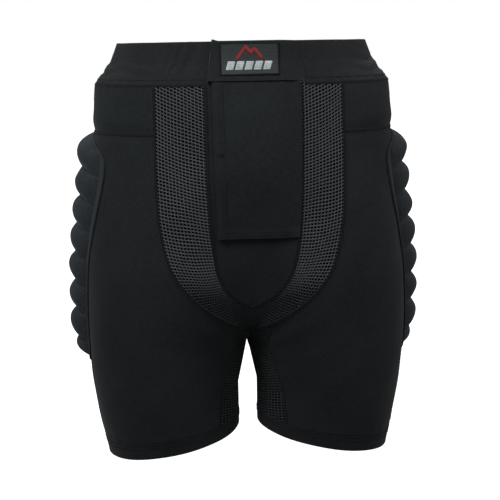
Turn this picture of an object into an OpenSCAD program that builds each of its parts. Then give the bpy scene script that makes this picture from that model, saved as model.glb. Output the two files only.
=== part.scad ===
// Padded impact shorts for skiing and snowboarding, as worn on a body form.
// Millimetres. +Z is up, +X is the wearer's left, -Y is the front.
// The origin is the centre of the waist opening, in the plane of its top edge.
//
// Every sewn piece is a thin solid laid on one smooth body surface. A place on
// it is given by a drop below the waist edge and a girth coordinate v: 0 at
// the front centre, 1 at the left side, 2 at the back centre, and negative on
// the right. A third number, the lift, is the height above that surface.

/* [Body form] */
// Drop from the waist edge to the lowest point of the hems
length = 474; // [464:1:486]
// Length of a leg below the crotch
leg_length = 130; // [125:1:138]
// Half width at the waist edge
waist_half_width = 140.5; // [135:0.5:147]
// Half width at the fullest part of the hips, without pads
hip_half_width = 183.5; // [178:0.5:188]
// Depth from the centre to the front at the fullest part
front_depth = 112; // [108:1:116]
// Depth from the centre to the back at the fullest part
back_depth = 130; // [124:1:134]
// Gap between the legs at the hems
leg_gap = 22; // [18:1:26]
// How much higher a hem is at the inner thigh than at the side
hem_lift = 28; // [18:1:34]

/* [Fabric] */
// Thickness of the stretch jersey and mesh panels
cloth = 1.2; // [0.8:0.1:1.6]
// Height of the waistband
band_height = 43; // [38:1:46]
// Thickness of the waistband, casing and elastic together
band_thick = 2.8; // [2.6:0.1:3.6]
// Depth of the hem bands
hem_height = 22; // [16:1:26]
// Half of the gap left at each seam
seam = 0.5; // [0.4:0.1:0.8]

/* [Front opening] */
// How far the fly panel sits towards the wearer's left
fly_shift = 3.5; // [0:0.5:8]
// Distance from the centre to the free edge of the flap, on the wearer's right
flap_free = 41; // [38:1:43]
// Distance from the centre to the flap's hinge line, on the wearer's left
flap_hinge = 57; // [55:1:60]
// Drop to the bottom edge of the flap
flap_drop = 209; // [200:1:220]
// Thickness of each hook or loop tape
tape = 0.85; // [0.6:0.05:1.0]

/* [Pads] */
// Height of a foam cell above the fabric
pad_height = 21; // [14:0.5:22]
// Length of one cell, measured down the leg
cell_pitch = 32.7; // [28:0.1:33]
// Number of cells in a hip pad
hip_cells = 8; // [6:1:8]
// Number of cells in a seat pad
seat_cells = 5; // [4:1:5]
// Number of cells in the tailbone pad
tail_cells = 5; // [4:1:5]

/* [Hidden] */

LEFT = 1;
RIGHT = -1;
JERSEY = "#23272a";
MESH = "#3a3d40";
PAD = "#3c4146";
FOAM = "#8a8f94";
THREAD = "#4a4e52";

crotch = length - leg_length;
split_height = 230;     // height above the crotch over which the two legs part
split_power = 1.35;
gap_run = 65;           // drop over which the gap between the legs opens
fill_top = 275;         // below this the cloth stops bridging the hollow between the legs
v_unit = 240;           // millimetres of girth in one unit of v at the hips
mesh_top_outer = 102;   // distance from the centre to the mesh's outer seam
mesh_top_inner = 51;    // and from the fly's middle to its inner seam, both at the waistband
mesh_end = 321;         // drop where the outer seams meet under the crotch
gusset_end = 292;       // drop where the inner seams meet
thigh_top = 316;        // drop where the inner thigh mesh starts
thigh_front = 20;       // its width in front of the inseam at the crotch
thigh_flare = 10;       // and how much wider it is at the hem
inner_back = 0.20;      // girth it takes behind the inseam at the hem

// Half width, front depth and back depth of the body form at each drop.
stations = [
    [0, waist_half_width, front_depth - 15, back_depth - 33],
    [0.5 * band_height, waist_half_width + 9, front_depth - 13, back_depth - 31],
    [0.85 * band_height, hip_half_width - 23, front_depth - 9, back_depth - 26],
    [band_height + 4, hip_half_width - 16.5, front_depth - 6, back_depth - 22],
    [2 * band_height, hip_half_width - 13.5, front_depth - 1, back_depth - 13],
    [150, hip_half_width - 10.5, front_depth, back_depth - 3],
    [240, hip_half_width, front_depth - 6, back_depth],
    [300, hip_half_width + 2, front_depth - 12, back_depth - 10],
    [crotch, hip_half_width + 0.5, front_depth - 18, back_depth - 26],
    [crotch + 0.5 * leg_length, hip_half_width - 6, front_depth - 24, back_depth - 39],
    [length, hip_half_width - 18, front_depth - 30, back_depth - 45]
];

function mix(a, b, k) = a + (b - a) * k;
function clamp(x, low, high) = min(high, max(low, x));

// Smooth curve through a table whose first column rises.
function slope(T, i, k) =
    let (a = max(0, i - 1), b = min(len(T) - 1, i + 1)) (T[b][k] - T[a][k]) / (T[b][0] - T[a][0]);
function through(T, x, k) =
    let (
        i = max([for (j = [0:len(T) - 2]) if (j == 0 || T[j][0] <= x) j]),
        h = T[i + 1][0] - T[i][0],
        q = (x - T[i][0]) / h,
        p = q * q * (3 - 2 * q)
    )
    mix(T[i][k], T[i + 1][k], p)
        + h * q * (1 - q) * ((1 - q) * slope(T, i, k) - q * slope(T, i + 1, k));

// One ring of the left half: centre, half width and the angle where it ends.
function half_gap(d) = leg_gap / 2 * clamp((d - crotch) / gap_run, 0, 1);
function split(d) =
    d < crotch
        ? pow(max(0, 1 - (crotch - d) / split_height), split_power)
        : (through(stations, d, 1) + half_gap(d)) / (through(stations, d, 1) - half_gap(d));
function ring(d) =
    let (w = through(stations, d, 1), r = split(d)) [w * r / (1 + r), w / (1 + r), r >= 1 ? 180 : acos(-r)];

// A point on the left half, where s runs from -1 at the front to 1 at the back.
function leg_drop(s, d) =
    d <= crotch ? d : crotch + (d - crotch) * (1 - hem_lift / leg_length * (1 - cos(180 * s)) / 2);
function fill(d) = let (k = clamp((d - fill_top) / (crotch - fill_top), 0, 1)) 1 - k * k * (3 - 2 * k);
function bridge(c, r, d) = c < 0 && d < crotch ? c - fill(d) * c * c * c / (3 * pow(max(r, 0.25), 2)) : c;
function skin(s, d) =
    let (q = ring(d), a = s * q[2], c = bridge(cos(a), split(d), d))
    [q[0] + q[1] * cos(a), sign(sin(a)) * sqrt(1 - c * c) * through(stations, d, sin(a) < 0 ? 2 : 3),
     -leg_drop(s, d)];
function outward(s, d) =
    let (n = cross(skin(s, d + 0.5) - skin(s, d - 0.5), skin(s + 0.002, d) - skin(s - 0.002, d)))
    n / norm(n);
function lifted(s, d, lift) =
    let (p = skin(s, d) + lift * outward(s, d)) [abs(s) == 1 && d < crotch ? 0 : p[0], p[1], p[2]];

// A point anywhere on the garment.
function place(v, d, lift) =
    let (w = v > 2 ? v - 4 : v < -2 ? v + 4 : v, p = lifted(abs(w) - 1, d, lift))
    [w < 0 ? -p[0] : p[0], p[1], p[2]];

// The girth coordinate on the front at a distance x from the centre.
function v_at(x, d) =
    let (q = ring(d)) sign(x) * (1 - acos(clamp((abs(x) - q[0]) / q[1], -1, 1)) / q[2]);

// The closed solid between two matching grids of points. With wrap set, the
// last row joins the first.
module slab(P, Q, wrap = false) {
    n = len(P);
    m = len(P[0]);
    last = wrap ? n - 1 : n - 2;
    function at(i, j) = (i % n) * m + j;
    function under(i, j) = n * m + at(i, j);
    function quad(a, b, c, d) = [[a, b, c], [a, c, d]];
    faces = concat(
        [for (i = [0:last], j = [0:m - 2]) each quad(at(i, j), at(i + 1, j), at(i + 1, j + 1), at(i, j + 1))],
        [for (i = [0:last], j = [0:m - 2])
            each [[under(i, j), under(i + 1, j + 1), under(i + 1, j)],
                  [under(i, j), under(i, j + 1), under(i + 1, j + 1)]]],
        [for (i = [0:last]) each quad(at(i, 0), under(i, 0), under(i + 1, 0), at(i + 1, 0))],
        [for (i = [0:last]) each quad(at(i + 1, m - 1), under(i + 1, m - 1), under(i, m - 1), at(i, m - 1))],
        wrap ? [] : [for (j = [0:m - 2]) each quad(at(0, j + 1), under(0, j + 1), under(0, j), at(0, j))],
        wrap ? [] : [for (j = [0:m - 2])
            each quad(at(n - 1, j), under(n - 1, j), under(n - 1, j + 1), at(n - 1, j + 1))]
    );
    polyhedron(
        points = concat([for (row = P) each row], [for (row = Q) each row]),
        faces = [for (f = faces) [f[2], f[1], f[0]]]
    );
}

// A sheet on a grid of [v, drop] places, between two lifts.
module sheet(grid, low, high, wrap = false) {
    slab(
        [for (row = grid) [for (g = row) place(g[0], g[1], high)]],
        [for (row = grid) [for (g = row) place(g[0], g[1], low)]],
        wrap
    );
}

// Rows of places between two edges, which are functions of the drop.
function rows(near, far, drops, count) =
    [for (d = drops) [for (j = [0:count]) [mix(near(d), far(d), j / count), d]]];
function steps(a, b, n) = [for (i = [0:n]) mix(a, b, i / n)];

// Fabric folded along a path of [drop, lift] corners and swept round the girth.
module folded(girths, outer, inner, wrap = false) {
    slab(
        [for (v = girths) [for (c = outer) place(v, c[0], c[1])]],
        [for (v = girths) [for (c = inner) place(v, c[0], c[1])]],
        wrap
    );
}

// A ribbon along a list of [v, drop] places, widened across the path.
module ribbon(path, width, low, high, wrap = false) {
    n = len(path);
    function along(i) =
        let (
            a = path[wrap ? (i + n - 1) % n : max(0, i - 1)],
            b = path[wrap ? (i + 1) % n : min(n - 1, i + 1)],
            t = [(b[0] - a[0]) * v_unit, b[1] - a[1]]
        ) t / norm(t);
    function edge(i, k) = path[i] + k * width / 2 * [-along(i)[1] / v_unit, along(i)[0]];
    sheet([for (i = [0:n - 1]) [edge(i, 1), edge(i, -1)]], low, high, wrap);
}

module side(which) {
    mirror([which == RIGHT ? 1 : 0, 0, 0]) children();
}

// ---- Seam lines, as functions of the drop, on the left half ----

mesh_outer = [[band_height, mesh_top_outer], [146, 102.5], [200, 99.5], [243, 89.5], [269, 73],
              [288, 54], [305, 31], [315, 13], [mesh_end, 0]];
mesh_inner = [[band_height, mesh_top_inner], [146, 50.5], [200, 48], [230, 44.5], [256, 38],
              [274, 25], [285, 11], [gusset_end, 0]];

function outer_seam(d) = d >= mesh_end ? 0 : v_at(max(0, through(mesh_outer, d, 1)), d);
function fly_middle(d) = fly_shift * clamp((gusset_end - d) / (gusset_end - 230), 0, 1);
function inner_seam(d, which) =
    d >= gusset_end ? 0 : v_at(max(0, through(mesh_inner, d, 1) + which * fly_middle(d)), d);
function down_leg(d) = max(0, (d - crotch) / leg_length);
function inseam_front(d) = v_at(thigh_front + thigh_flare * down_leg(d) + max(0, half_gap(d)), d);
function inseam_back(d) = 2 - inner_back * sin(90 * down_leg(d));

// ---- Pads ----

// A pad is [top drop, cells, front edge at the top and bottom, back edge at the top and bottom, tilt,
// droop of the front ends, how much taller the cells get from the top one to the bottom one].
HIP = [104.5, hip_cells, 0.70, 0.95, 1.38, 1.36, 20, 5, 0.44];
SEAT = [156, seat_cells, 1.48, 1.49, 1.84, 1.78, -6, 0, 0];
TAIL = [111, tail_cells, 1.885, 1.915, 2.115, 2.085, 0, 0, 0];
pad_base = 1.6;         // gap under the foam
cell_rows = [0, 0.16, 0.38, 0.62, 0.84];
pad_columns = [0, 0.08, 0.24, 0.5, 0.76, 0.92, 1];
last_cell = 0.64;       // length of the last cell, as a share of the others
last_height = 0.85;     // and its height
valley = 0.42;          // height of the channels between cells, as a share of the cells
flange = 0.07;          // flat border at each side, as a share of the pad's width
pad_margin = 3.6;       // from the border to the middle of the piping

function pad_rows(pad) = pad[1] - 1 + last_cell;
function pad_bottom(pad) = pad[0] + pad_rows(pad) * cell_pitch;
function pad_run(pad, d) = clamp((d - pad[0]) / (pad_bottom(pad) - pad[0]), 0, 1);
function corner(k) = 0.66 + 0.34 * sqrt(max(0, 1 - pow(abs(2 * k - 1), 7)));
function ease(k) = k * (2 - k);
function pad_middle(pad, k) = (mix(pad[2], pad[3], ease(k)) + mix(pad[4], pad[5], k)) / 2;
function pad_half(pad, k) = (mix(pad[4], pad[5], k) - mix(pad[2], pad[3], ease(k))) / 2 * corner(k);

// Place in a pad, from u across it and w down it, both 0 to 1.
function pad_place(pad, u, w) = [
    pad_middle(pad, w) + (2 * u - 1) * pad_half(pad, w),
    mix(pad[0], pad_bottom(pad), w) + pad[6] * (0.5 - u)
        + pad[7] * mix(1, 0.4, w) * pow(max(0, 1 - u / 0.35), 2)
];
function dome(k) = sqrt(max(0, 1 - pow(2 * k - 1, 2)));
function cell_height(pad, row) =
    let (
        cell = min(floor(row), pad[1] - 1),
        last = cell == pad[1] - 1,
        c = (row - cell) / (last ? last_cell : 1),
        full = last ? last_height : 1
    )
    (cell == 0 && c < 0.5) || (last && c > 0.5) ? full * dome(c) : valley + (full - valley) * dome(c);
function pad_rise(pad, u, row) =
    let (t = abs(2 * u - 1) / (1 - 2 * flange), growth = 1 + pad[8] * (row / pad_rows(pad) - 0.5))
    growth * pad_height * pow(max(0, 1 - pow(t, 2.6)), 0.75) * cell_height(pad, row);
function cell_levels(pad, cell) = [for (c = cell_rows) cell + c * (cell == pad[1] - 1 ? last_cell : 1)];

module pad_cover(pad) {
    levels = [each [for (cell = [0:pad[1] - 1]) each cell_levels(pad, cell)], pad_rows(pad)];
    function cloud(lift) = [for (row = levels) [for (u = pad_columns)
        let (g = pad_place(pad, u, row / pad_rows(pad))) place(g[0], g[1], lift + pad_rise(pad, u, row))]];
    slab(cloud(pad_base + 0.4 + cloth), cloud(pad_base + 0.4));
}

module pad_foam(pad) {
    columns = [for (j = [1:len(pad_columns) - 2]) pad_columns[j]];
    function cloud(cell, share) = [for (i = [1:len(cell_rows) - 1]) [for (u = columns)
        let (row = cell_levels(pad, cell)[i], g = pad_place(pad, u, row / pad_rows(pad)))
        place(g[0], g[1], pad_base + share * pad_rise(pad, u, row))]];
    for (cell = [0:pad[1] - 1]) slab(cloud(cell, 0.86), cloud(cell, 0));
}

// The pad's border, this far outside its edge, as one closed loop.
function pad_corner(pad, u, w, margin) =
    let (g = pad_place(pad, u, w))
    [g[0] + (2 * u - 1) * 0.6 * margin / v_unit, g[1] + (2 * w - 1) * 0.9 * margin];
function pad_loop(pad, margin) =
    let (
        n = pad_rows(pad),
        across = [for (j = [1:len(pad_columns) - 2]) pad_columns[j]],
        down = concat([for (c = cell_rows) c / n], steps(1 / n, 1 - last_cell / n, pad[1] - 2),
                      [for (i = [len(cell_rows) - 1:-1:0]) 1 - cell_rows[i] * last_cell / n]),
        front = [for (w = down) let (g = pad_place(pad, 0, w)) [g[0] - margin / v_unit, g[1]]],
        low = [for (u = across) let (g = pad_place(pad, u, 1)) [g[0], g[1] + margin]],
        back = [for (i = [len(down) - 1:-1:0])
            let (g = pad_place(pad, 1, down[i])) [g[0] + margin / v_unit, g[1]]],
        high = [for (i = [len(across) - 1:-1:0]) let (g = pad_place(pad, across[i], 0)) [g[0], g[1] - margin]]
    )
    concat(front, [pad_corner(pad, 0, 1, margin)], low, [pad_corner(pad, 1, 1, margin)],
        back, [pad_corner(pad, 1, 0, margin)], high, [pad_corner(pad, 0, 0, margin)]);

module pad_piping(pad) {
    ribbon(pad_loop(pad, pad_margin), 2.4, 1.1, 3.3, wrap = true);
}

// ---- Waistband ----

casing = 0.6;           // thickness of the casing fabric
elastic_gap = 0.25;     // between the casing and the elastic inside it
loop_low = 0.2;         // lift under a loop tape
hook_low = loop_low + tape + 0.1;
fly_lift = hook_low + tape + 0.25;
hinge_gap = 2;          // the tab and flap stop this far short of the hinge line
waist_tape = [3, 31];   // edges of the waist tapes, from the free edge of the tab
fly_tape = [6, 18];     // edges of the fly tapes, from the free edge of the flap
fly_tape_end = 20;      // from the band and from the bottom of the flap to the ends of the fly tapes
label_half = 30;
label_top = 3;
label_bottom = 36.5;
waist = 20;             // drop at which girths round the waistband are measured

// A folded casing, open along its lower edge, and the elastic inside it.
module band_casing(girths, lift) {
    top = lift + band_thick;
    up = steps(band_height - seam, 0, 4);
    inner_up = steps(band_height - seam, casing, 4);
    folded(
        girths,
        concat([for (d = up) [d, top]], [for (i = [4:-1:0]) [up[i], lift]]),
        concat([for (d = inner_up) [d, top - casing]], [for (i = [4:-1:0]) [inner_up[i], lift + casing]])
    );
}

module band_elastic(girths, lift) {
    up = steps(band_height - 3, casing + 1, 4);
    folded(
        girths,
        [for (d = up) [d, lift + band_thick - casing - elastic_gap]],
        [for (d = up) [d, lift + casing + elastic_gap]]
    );
}

// From the hinge line round the back to the underlap beneath the tab.
band_girths = steps(v_at(flap_hinge + 1.5, waist), 4 + v_at(-flap_free - 4, waist), 46);
underlap_girths = steps(v_at(-flap_free - 4, waist), v_at(flap_hinge - hinge_gap, waist), 9);
whole_band = concat(band_girths, [for (i = [1:len(underlap_girths) - 1]) 4 + underlap_girths[i]]);
tab_girths = steps(v_at(-flap_free, waist), v_at(flap_hinge - hinge_gap, waist), 10);

module waistband_casing() {
    color(JERSEY) band_casing(whole_band, -band_thick);
}

module waistband_elastic() {
    color(FOAM) band_elastic(whole_band, -band_thick);
}

module waist_tab_casing() {
    color(JERSEY) band_casing(tab_girths, fly_lift);
}

module waist_tab_elastic() {
    color(FOAM) band_elastic([for (i = [1:len(tab_girths) - 2]) tab_girths[i]], fly_lift);
}

// A flat patch on the front, between two distances from the centre.
module front_patch(x0, x1, d0, d1, low, high, across, down) {
    sheet(rows(function(d) v_at(x0, d), function(d) v_at(x1, d), steps(d0, d1, down), across), low, high);
}

module waist_patch(low) {
    front_patch(-flap_free + waist_tape[0], -flap_free + waist_tape[1], 6, 38, low, low + tape, 3, 4);
}

module waist_loop_tape() {
    color(FOAM) waist_patch(loop_low);
}

module waist_hook_tape() {
    color(THREAD) waist_patch(hook_low);
}

module waist_label() {
    low = fly_lift + band_thick + 0.3;
    color("#3d4042") front_patch(-label_half, label_half, label_top, label_bottom, low, low + 0.6, 6, 4);
}

// A plain twin-peak shape over a row of slanted bars, embroidered on the label.
module label_emblem() {
    low = fly_lift + band_thick + 1.1;
    high = low + 0.5;
    foot = label_bottom - 5;
    bar_width = 7;
    bar_height = 8;
    bar_pitch = 9.6;
    slant = 0.3;
    peaks = [[-13, 19], [-4, 7], [1.5, 13], [5, 9], [13, 19]];
    color("#c0392b") ribbon([for (p = peaks) [v_at(p[0], p[1]), p[1]]], 3, low, high);
    color("white")
        for (i = [0:4]) {
            x = 6 - label_half + i * bar_pitch;
            near = function(d) v_at(x + slant * (foot - d), d);
            far = function(d) v_at(x + bar_width + slant * (foot - d), d);
            sheet(rows(near, far, [foot - bar_height, foot], 2), low, high);
        }
}

// ---- Front opening ----

module fly_flap() {
    color(JERSEY)
        sheet(
            rows(function(d) v_at(mix(-flap_free, -flap_free + 3, d / flap_drop), d),
                 function(d) v_at(min(flap_hinge - hinge_gap, through(mesh_inner, d, 1) + fly_shift), d),
                 steps(band_height + seam, flap_drop, 10), 8),
            fly_lift, fly_lift + cloth
        );
}

module fly_patch(low) {
    front_patch(-flap_free + fly_tape[0], -flap_free + fly_tape[1],
        band_height + fly_tape_end, flap_drop - fly_tape_end, low, low + tape, 1, 8);
}

module fly_hook_tape() {
    color(THREAD) fly_patch(hook_low);
}

module fly_loop_tape() {
    color(FOAM) fly_patch(loop_low);
}

// Topstitching down the free edge and along the bottom of the flap.
module fly_stitching() {
    low = fly_lift + cloth + 0.2;
    turn = flap_drop - 6;
    path = concat(
        [for (d = steps(band_height + 3, turn, 9)) [v_at(-flap_free + 6, d), d]],
        [for (x = steps(-flap_free + 12, 42, 5)) [v_at(x, turn), turn]]
    );
    color(THREAD) ribbon(path, 2, low, low + 0.4);
}

module fly_underlay() {
    color(JERSEY)
        sheet(
            rows(function(d) -inner_seam(d, RIGHT) + seam / v_unit,
                 function(d) inner_seam(d, LEFT) - seam / v_unit,
                 steps(band_height + seam, flap_drop - seam, 10), 8),
            -cloth, 0
        );
}

module front_gusset() {
    color(JERSEY)
        sheet(
            rows(function(d) -inner_seam(d, RIGHT) + seam / v_unit,
                 function(d) inner_seam(d, LEFT) - seam / v_unit,
                 [flap_drop + seam, 230, 244, 257, 268, 277, 284], 6),
            -cloth, 0
        );
}

// The mesh runs down beside the fly and then under the gusset to the centre.
mesh_rows = [for (k = [0:17]) sin(90 * k / 17)];
function on_inner(k, which) =
    let (d = mix(band_height + seam, gusset_end + 1, k)) [inner_seam(d, which) + seam / v_unit, d];
function on_outer(k) = let (d = mix(band_height + seam, mesh_end, k)) [outer_seam(d) - seam / v_unit, d];

module front_mesh(which) {
    color(MESH)
        sheet(
            [for (k = mesh_rows) [for (j = [0:3])
                let (g = mix(on_inner(k, which), on_outer(k), j / 3)) [max(seam / v_unit, g[0]), g[1]]]],
            -cloth, 0
        );
}

// ---- Main panels ----

yoke_drop = HIP[0] - 6;
panel_bottom = length - hem_height - seam;
side_front = function(d) mix(HIP[2], HIP[3], ease(pad_run(HIP, d)));
side_back = function(d) mix(HIP[4], HIP[5], pad_run(HIP, d));

module hip_yoke() {
    near = function(d) outer_seam(d) + seam / v_unit;
    far = function(d) 2 - seam / v_unit;
    color(JERSEY) sheet(rows(near, far, steps(band_height + seam, yoke_drop - seam, 3), 14), -cloth, 0);
}

module front_panel() {
    near = function(d) (d < thigh_top ? outer_seam(d) : inseam_front(d)) + seam / v_unit;
    far = function(d) side_front(d) - seam / v_unit;
    drops = concat(
        steps(yoke_drop + seam, 220, 5), [245, 265, 280, 292, 302, 310, thigh_top - 1, thigh_top],
        steps(mesh_end + 4, crotch, 2), steps(crotch + 10, panel_bottom, 5)
    );
    color(JERSEY) sheet(rows(near, far, drops, 5), -cloth, 0);
}

module back_panel() {
    near = function(d) side_back(d) + seam / v_unit;
    far = function(d) inseam_back(d) - seam / v_unit;
    color(JERSEY) sheet(rows(near, far, steps(yoke_drop + seam, panel_bottom, 16), 6), -cloth, 0);
}

// The base layer that a hip pad is sewn to, down to the hem.
module side_panel() {
    near = function(d) side_front(d) + seam / v_unit;
    far = function(d) side_back(d) - seam / v_unit;
    color(JERSEY) sheet(rows(near, far, steps(yoke_drop + seam, panel_bottom, 12), 8), -cloth, 0);
}

// Starts as a point under the front mesh, meets its twin down to the crotch, then lines the leg's inner side.
module inner_thigh_mesh() {
    drops = concat([thigh_top + 1, mesh_end, 330], steps(crotch, panel_bottom, 8));
    function near(d) = -1 + (d < crotch ? outer_seam(d) : -inner_back * sin(90 * down_leg(d)));
    function points(lift) = [for (d = drops) [for (j = [0:4])
        lifted(mix(near(d) + seam / v_unit, -1 + inseam_front(d) - seam / v_unit, j / 4), d, lift)]];
    color(MESH) slab(points(0), points(-cloth));
}

hem_thick = 2.4;

// Doubled fabric turned at the bottom, all the way round a leg.
module hem_band() {
    top = length - hem_height + seam;
    angles = [for (k = [0:27]) -1 + 2 * k / 28];
    outer = [[top, -hem_thick], [length, -hem_thick], [length, 0], [top, 0]];
    inner = [[top, casing - hem_thick], [length - casing, casing - hem_thick],
             [length - casing, -casing], [top, -casing]];
    function points(path) = [for (s = angles) [for (c = path) lifted(s, c[0], c[1])]];
    color(JERSEY) slab(points(outer), points(inner), wrap = true);
}

// ---- Stitching and label ----

module waist_seam_stitching() {
    girths = steps(v_at(flap_hinge + 4, 50), 4 + v_at(-flap_free - 10, 50), 40);
    color(THREAD) ribbon([for (v = girths) [v, band_height + 5]], 2.4, 0.4, 0.8);
}

module mesh_seam_stitching() {
    color(THREAD)
        ribbon([for (k = steps(0.02, 1, 15)) let (g = on_outer(sin(90 * k))) [max(2 / v_unit, g[0]), g[1]]],
            2.4, 0.7, 1.1);
}

module hem_stitching() {
    d = length - hem_height - 3;
    function points(lift) = [for (k = [0:27]) [for (e = [1.2, -1.2]) lifted(-1 + 2 * k / 28, d + e, lift)]];
    color(THREAD) slab(points(1.3), points(0.9), wrap = true);
}

module care_label() {
    low = -band_thick - 1.4;
    down = steps(band_height - 12, band_height + 30, 3);
    color("white") sheet(rows(function(d) 1.9, function(d) 2.1, down, 3), low, low + 0.4);
}

// ---- The assembly ----

waistband_casing();
waistband_elastic();
waist_loop_tape();
waist_tab_casing();
waist_tab_elastic();
waist_hook_tape();
waist_label();
label_emblem();
fly_flap();
fly_hook_tape();
fly_stitching();
fly_underlay();
fly_loop_tape();
front_gusset();
side(LEFT) front_mesh(LEFT);  // front_mesh_left
side(RIGHT) front_mesh(RIGHT);  // front_mesh_right
side(LEFT) front_panel();  // front_panel_left
side(RIGHT) front_panel();  // front_panel_right
side(LEFT) inner_thigh_mesh();  // inner_thigh_mesh_left
side(RIGHT) inner_thigh_mesh();  // inner_thigh_mesh_right
side(LEFT) hip_yoke();  // hip_yoke_left
side(RIGHT) hip_yoke();  // hip_yoke_right
side(LEFT) side_panel();  // side_panel_left
side(RIGHT) side_panel();  // side_panel_right
side(LEFT) back_panel();  // back_panel_left
side(RIGHT) back_panel();  // back_panel_right
side(LEFT) hem_band();  // hem_band_left
side(RIGHT) hem_band();  // hem_band_right
side(LEFT) color(PAD) pad_cover(HIP);  // hip_pad_cover_left
side(RIGHT) color(PAD) pad_cover(HIP);  // hip_pad_cover_right
side(LEFT) color(FOAM) pad_foam(HIP);  // hip_pad_foam_left
side(RIGHT) color(FOAM) pad_foam(HIP);  // hip_pad_foam_right
side(LEFT) color(PAD) pad_piping(HIP);  // hip_pad_piping_left
side(RIGHT) color(PAD) pad_piping(HIP);  // hip_pad_piping_right
side(LEFT) color(PAD) pad_cover(SEAT);  // seat_pad_cover_left
side(RIGHT) color(PAD) pad_cover(SEAT);  // seat_pad_cover_right
side(LEFT) color(FOAM) pad_foam(SEAT);  // seat_pad_foam_left
side(RIGHT) color(FOAM) pad_foam(SEAT);  // seat_pad_foam_right
side(LEFT) color(PAD) pad_piping(SEAT);  // seat_pad_piping_left
side(RIGHT) color(PAD) pad_piping(SEAT);  // seat_pad_piping_right
color(PAD) pad_cover(TAIL);  // tailbone_pad_cover
color(FOAM) pad_foam(TAIL);  // tailbone_pad_foam
color(PAD) pad_piping(TAIL);  // tailbone_pad_piping
waist_seam_stitching();
side(LEFT) mesh_seam_stitching();  // mesh_seam_stitching_left
side(RIGHT) mesh_seam_stitching();  // mesh_seam_stitching_right
side(LEFT) hem_stitching();  // hem_stitching_left
side(RIGHT) hem_stitching();  // hem_stitching_right
care_label();
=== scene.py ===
import functools
import math

import bmesh
import bpy
import numpy as np
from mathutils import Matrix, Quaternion, Vector


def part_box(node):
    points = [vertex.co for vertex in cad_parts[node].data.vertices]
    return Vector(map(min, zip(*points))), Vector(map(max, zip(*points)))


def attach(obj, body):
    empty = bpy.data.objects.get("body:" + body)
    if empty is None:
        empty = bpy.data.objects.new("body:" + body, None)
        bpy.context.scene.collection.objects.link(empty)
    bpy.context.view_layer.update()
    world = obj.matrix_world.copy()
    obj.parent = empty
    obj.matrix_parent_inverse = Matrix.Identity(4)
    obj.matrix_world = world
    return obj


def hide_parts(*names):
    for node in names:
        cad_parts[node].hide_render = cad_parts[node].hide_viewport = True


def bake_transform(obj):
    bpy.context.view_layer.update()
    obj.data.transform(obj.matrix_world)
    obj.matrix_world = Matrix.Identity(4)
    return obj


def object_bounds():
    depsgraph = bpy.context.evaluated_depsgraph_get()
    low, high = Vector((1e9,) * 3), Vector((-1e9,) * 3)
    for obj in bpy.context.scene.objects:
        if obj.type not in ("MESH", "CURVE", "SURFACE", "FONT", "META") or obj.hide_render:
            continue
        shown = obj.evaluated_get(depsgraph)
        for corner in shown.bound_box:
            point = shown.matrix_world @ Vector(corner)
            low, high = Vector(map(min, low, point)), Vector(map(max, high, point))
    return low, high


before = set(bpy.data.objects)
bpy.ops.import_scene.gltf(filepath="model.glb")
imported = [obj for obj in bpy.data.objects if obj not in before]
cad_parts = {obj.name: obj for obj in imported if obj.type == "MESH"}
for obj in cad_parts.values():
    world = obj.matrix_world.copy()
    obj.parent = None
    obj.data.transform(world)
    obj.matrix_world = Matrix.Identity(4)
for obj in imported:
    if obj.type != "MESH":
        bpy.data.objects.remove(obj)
cad_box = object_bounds()
scene = bpy.context.scene
ROOT, FLAP = "shorts", "front_flap"
SIDES = ((1, "left"), (-1, "right"))
MM = 0.001

# ------------------------------------------------------------------ body form
# The same smooth form as the CAD part: a place is a girth coordinate v (0 front,
# 1 left side, 2 back), a drop d below the waist edge and a lift off the surface.

# Sizes are in millimetres.
LENGTH = round(-cad_box[0].z / MM)
LEG = 130.0             # from the crotch down to the hem
CROTCH = LENGTH - LEG
BAND = 43.0             # height of the waistband
YOKE = 98.5             # drop of the yoke seam
HEM = 22.0              # height of the hem band
CLOTH = 1.2             # thickness of a panel
CASING = 2.8            # thickness of the folded waistband
V_UNIT = 240.0          # about the length of one unit of girth
FLAP_DROP = -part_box("fly_flap")[0].z / MM
FLAP_FREE = 41.0        # from the centre to the flap's free edge
FLAP_HINGE = 57.0       # from the centre to the hinge line
FLY_SHIFT = 3.5         # the fly sits this far to the wearer's left
FLY_LIFT = 2.25         # from the fabric to the closed flap
LEG_GAP = 11.0          # half the gap between the legs
GAP_FADE = 65.0         # the gap opens over this drop below the crotch
PINCH = 230.0           # the ring parts into two legs over this drop above the crotch
BRIDGE_TOP = 275.0      # above it the fabric bridges the hollow between the legs
HEM_RISE = 28.0         # the hem is this much higher at the inseam than at the side
EDGE_TURN = 0.9999      # a turn past this counts as the centre line

# Half width, front depth and back depth of the form, at the drops given last.
HALF = np.array([140.5, 149.5, 160.5, 167, 170, 173, 183.5, 185.5, 184, 177.5, 165.5], float)
FRONT = np.array([97, 99, 103, 106, 111, 112, 106, 100, 94, 88, 82], float)
BACK = np.array([97, 99, 104, 108, 117, 127, 130, 120, 104, 91, 85], float)
DROPS = np.array([0, BAND / 2, 0.85 * BAND, BAND + 4, 2 * BAND, 150, 240, 300,
                  CROTCH, CROTCH + LEG / 2, LENGTH], float)


def smooth(x, a, b):
    """A soft step from 0 at a to 1 at b."""
    k = np.clip((np.asarray(x, float) - a) / (b - a), 0, 1)
    return k * k * (3 - 2 * k)


def mix(a, b, k):
    """From a at k = 0 to b at k = 1."""
    return a + (b - a) * k


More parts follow.
